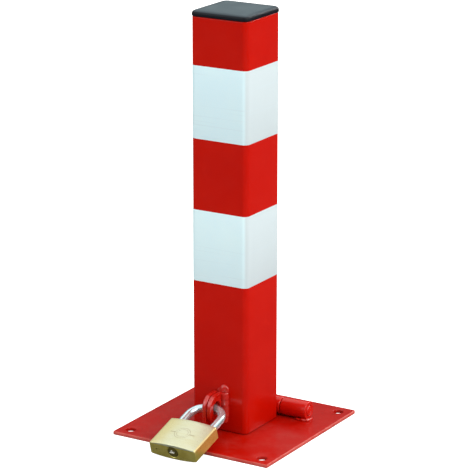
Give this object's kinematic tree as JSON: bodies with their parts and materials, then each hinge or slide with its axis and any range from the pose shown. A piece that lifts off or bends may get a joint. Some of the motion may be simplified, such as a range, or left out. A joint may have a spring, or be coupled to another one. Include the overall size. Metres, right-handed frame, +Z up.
{
  "type": "folding parking post",
  "caption": "Square post with reflective bands that folds down on a hinged base plate and is held upright by a padlock through two lugs.",
  "frame": {"origin": "centre of the base plate's underside, on the ground", "axes": "+Z up along the post, +Y to the hinge side the post folds to, -Y to the padlock, +X right"},
  "size_m": [0.197, 0.231, 0.4709],
  "materials": {
    "red_paint": "glossy signal-red enamel over welded steel",
    "reflective_white": "white retro-reflective sheet, faintly blue",
    "black_plastic": "satin black moulded plastic with a fine grain",
    "brass": "finely brushed, bright",
    "chromed_steel": "bright plated hardened steel",
    "plain_steel": "turned, plain",
    "spring_steel": "drawn spring wire"
  },
  "bodies": {
    "base": {"base_plate": "red_paint", "base_lug": "red_paint", "base_lug_weld": "red_paint", "hinge_barrel_left": "red_paint", "hinge_barrel_right": "red_paint", "barrel_weld_left": "red_paint", "barrel_weld_right": "red_paint", "hinge_pin": "red_paint"},
    "post": {"post_tube": "red_paint", "post_knuckle": "red_paint", "knuckle_weld": "red_paint", "post_lug": "red_paint", "post_lug_weld": "red_paint", "reflective_band_lower": "reflective_white", "reflective_band_upper": "reflective_white", "end_cap": "black_plastic"},
    "shackle": {"shackle": "chromed_steel"},
    "lock_case": {"lock_body": "brass", "heel_retaining_pin": "plain_steel", "plug_retaining_pin": "plain_steel", "shackle_spring": "spring_steel", "bolt_spring": "spring_steel", "driver_pin_1": "plain_steel", "driver_pin_2": "plain_steel", "driver_pin_3": "plain_steel", "driver_pin_4": "plain_steel", "driver_pin_5": "plain_steel", "driver_spring_1": "spring_steel", "driver_spring_2": "spring_steel", "driver_spring_3": "spring_steel", "driver_spring_4": "spring_steel", "driver_spring_5": "spring_steel", "chamber_plug_1": "brass", "chamber_plug_2": "brass", "chamber_plug_3": "brass", "chamber_plug_4": "brass", "chamber_plug_5": "brass"},
    "lock_cylinder": {"key_plug": "brass", "plug_cam": "plain_steel", "key_pin_1": "brass", "key_pin_2": "brass", "key_pin_3": "brass", "key_pin_4": "brass", "key_pin_5": "brass"},
    "toe_bolt": {"toe_bolt": "plain_steel"},
    "heel_bolt": {"heel_bolt": "plain_steel"}
  },
  "joints": [
    {"name": "post_fold", "type": "hinge", "parent": "base", "child": "post", "pos_m": [0, 0.0453, 0.0143], "axis": [-1, 0, 0], "range_deg": [0, 93]},
    {"name": "padlock_swing", "type": "hinge", "parent": "base", "child": "shackle", "pos_m": [0, -0.048, 0.0337], "axis": [-1, 0, 0], "range_deg": [0, 108]},
    {"name": "shackle_release", "type": "slide", "parent": "shackle", "child": "lock_case", "axis": [0, -0.9573, -0.289], "range_m": [0, 0.0132]},
    {"name": "key_turn", "type": "hinge", "parent": "lock_case", "child": "lock_cylinder", "pos_m": [0, -0.11501, 0.01347], "axis": [0, 0.9573, 0.289], "range_deg": [0, 90]},
    {"name": "toe_bolt_slide", "type": "slide", "parent": "lock_case", "child": "toe_bolt", "axis": [-1, 0, 0], "range_m": [0, 0.0042], "deforming": ["bolt_spring"]},
    {"name": "heel_bolt_slide", "type": "slide", "parent": "lock_case", "child": "heel_bolt", "axis": [1, 0, 0], "range_m": [0, 0.0042]}
  ],
  "couplings": [
    {"joint": "key_turn", "follows": "shackle_release", "rad_per_m": 118.99},
    {"joint": "toe_bolt_slide", "follows": "shackle_release", "ratio": 0.31818},
    {"joint": "heel_bolt_slide", "follows": "shackle_release", "ratio": 0.31818}
  ]
}
